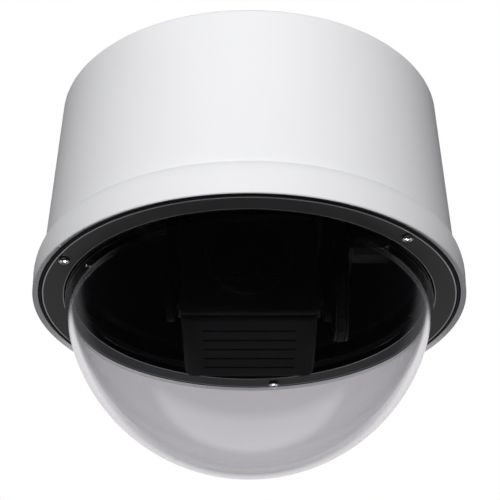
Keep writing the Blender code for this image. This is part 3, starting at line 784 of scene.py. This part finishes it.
def make_barrel():
    front, rear = lowest("lens_barrel").y, highest("lens_barrel").y
    outer, bore = 0.0205, 0.0180
    ridge_step, ridge_depth = 0.0010, 0.0004
    outline = [(outer, rear), (outer, front + 0.0060)]
    for ridge in range(4):
        start = front + 0.0055 - ridge_step * ridge
        foot = outer - ridge_depth
        outline += [(outer, start), (foot, start - 0.0003), (foot, start - 0.0006)]
    outline += [(outer, front + 0.0010), (outer - 0.0006, front), (bore + 0.0008, front)]
    for turn in range(3):
        start = front + 0.0003 + 0.0005 * turn
        outline += [(bore + 0.0005, start), (bore + 0.0001, start + 0.00025)]
    outline += [(bore, front + 0.0020), (bore, rear)]
    return new_piece("barrel", along_lens(lathe(outline, 96)), moulded_black, crease=28.0)


def make_front_lens():
    rear, crown = highest("front_lens").y, lowest("front_lens").y
    edge = highest("front_lens").x
    sagitta = 0.0027
    curve = (edge ** 2 + sagitta ** 2) / (2.0 * sagitta)
    half_turn = math.degrees(math.asin(edge / curve))
    front_face = bend_points((0.0, crown + curve), curve, -90.0 + half_turn, -90.0, 16)
    outline = [(0.0, rear), (edge, rear)] + front_face[:-1] + [(0.0, crown)]
    return new_piece("front_glass", along_lens(lathe(outline, 96, closed=False)), coated_glass)


def make_cell(node, name):
    """A lens cell: a ring with its glass held in a seat, and holes for the two guide rods."""
    low, high = lowest(node).y, highest(node).y
    edge = highest(node).x
    seat = 0.0105
    ring = lathe(soften([(seat, high), (edge, high), (edge, low), (seat + 0.0015, low),
                         (seat, low + 0.0012)], 0.0003, count=2), 72)
    cell = new_piece(name, along_lens(ring), moulded_black)
    rods = [rod(0.0016, (0.0, low - 0.002, tilt_z + z), (0.0, high + 0.002, tilt_z + z), 24)
            for z in (-0.0145, 0.0145)]
    carve(cell, merge(rods))
    reach = seat - 0.00002
    rise, half_glass = 0.0008, 0.0014
    centre = (low + high) / 2.0
    back, front = centre + half_glass, centre - half_glass
    glass = lathe([(0.0, back), (0.6 * reach, back - 0.36 * rise), (reach, back - rise),
                   (reach, front + rise), (0.6 * reach, front + 0.36 * rise), (0.0, front)], 72, closed=False)
    ring_faces = len(cell.data.polygons)
    add_to(cell, along_lens(glass))
    cell.data.materials.append(coated_glass)
    for face in cell.data.polygons[ring_faces:]:
        face.material_index = 1
    return cell


fit_piece(make_barrel(), "lens_barrel", "camera_head")
fit_piece(make_front_lens(), "front_lens", "camera_head")
fit_piece(make_cell("zoom_group", "zoom_cell"), "zoom_group", "zoom_carriage")
fit_piece(make_cell("focus_group", "focus_cell"), "focus_group", "focus_carriage")


# Works left as the frame gives them, each with the finish of the real piece: boards, motors, belts,
# pulleys, spindle, bearings, rods and brackets. The metal near the dome is blackened against glints.
blackened = grained_finish("blackened_metal", (0.016, 0.016, 0.017), (0.011, 0.011, 0.012), (0.5, 0.65),
                           3000.0, 0.00003, shine=0.25)
turned_alloy = steel_finish("turned_alloy", (0.7, 0.7, 0.71), (0.3, 0.45))
solder_mask = grained_finish("solder_mask", (0.02, 0.12, 0.05), (0.012, 0.08, 0.035), (0.35, 0.5),
                             800.0, 0.00004)
terminal_blue = grained_finish("terminal_blue", (0.05, 0.17, 0.32), (0.04, 0.13, 0.26), (0.4, 0.55),
                               2400.0, 0.00004)
filter_blue = clear_finish("filter_blue", (0.35, 0.62, 0.68), 1.52, (0.02, 0.06))

FINISHES = {
    blackened: ("tilt_motor", "tilt_motor_bracket", "tilt_pulley", "tilt_motor_pulley", "pan_pulley",
                "trunnion_left", "trunnion_right", "tilt_bush_left", "tilt_bush_right", "guide_rod_upper",
                "guide_rod_lower", "pan_bearing_outer"),
    moulded_black: ("slip_ring_rotor", "slip_ring_stator", "fan_frame", "fan_rotor", "board_rail_left",
                    "board_rail_right", "image_sensor"),
    seal_rubber: ("pan_belt", "tilt_belt"),
    bright_steel: ("standoff_1", "standoff_2", "standoff_3", "pan_spindle", "pan_bearing_inner", "pan_motor"),
    turned_alloy: ("chassis_plate", "heater", "pan_motor_pulley"),
    solder_mask: ("main_board", "sensor_board", "encoder_board"),
    terminal_blue: ("terminal_block",),
    filter_blue: ("ir_filter",),
}
for finish, nodes in FINISHES.items():
    for node in nodes:
        for material_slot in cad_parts[node].material_slots:
            material_slot.material = finish
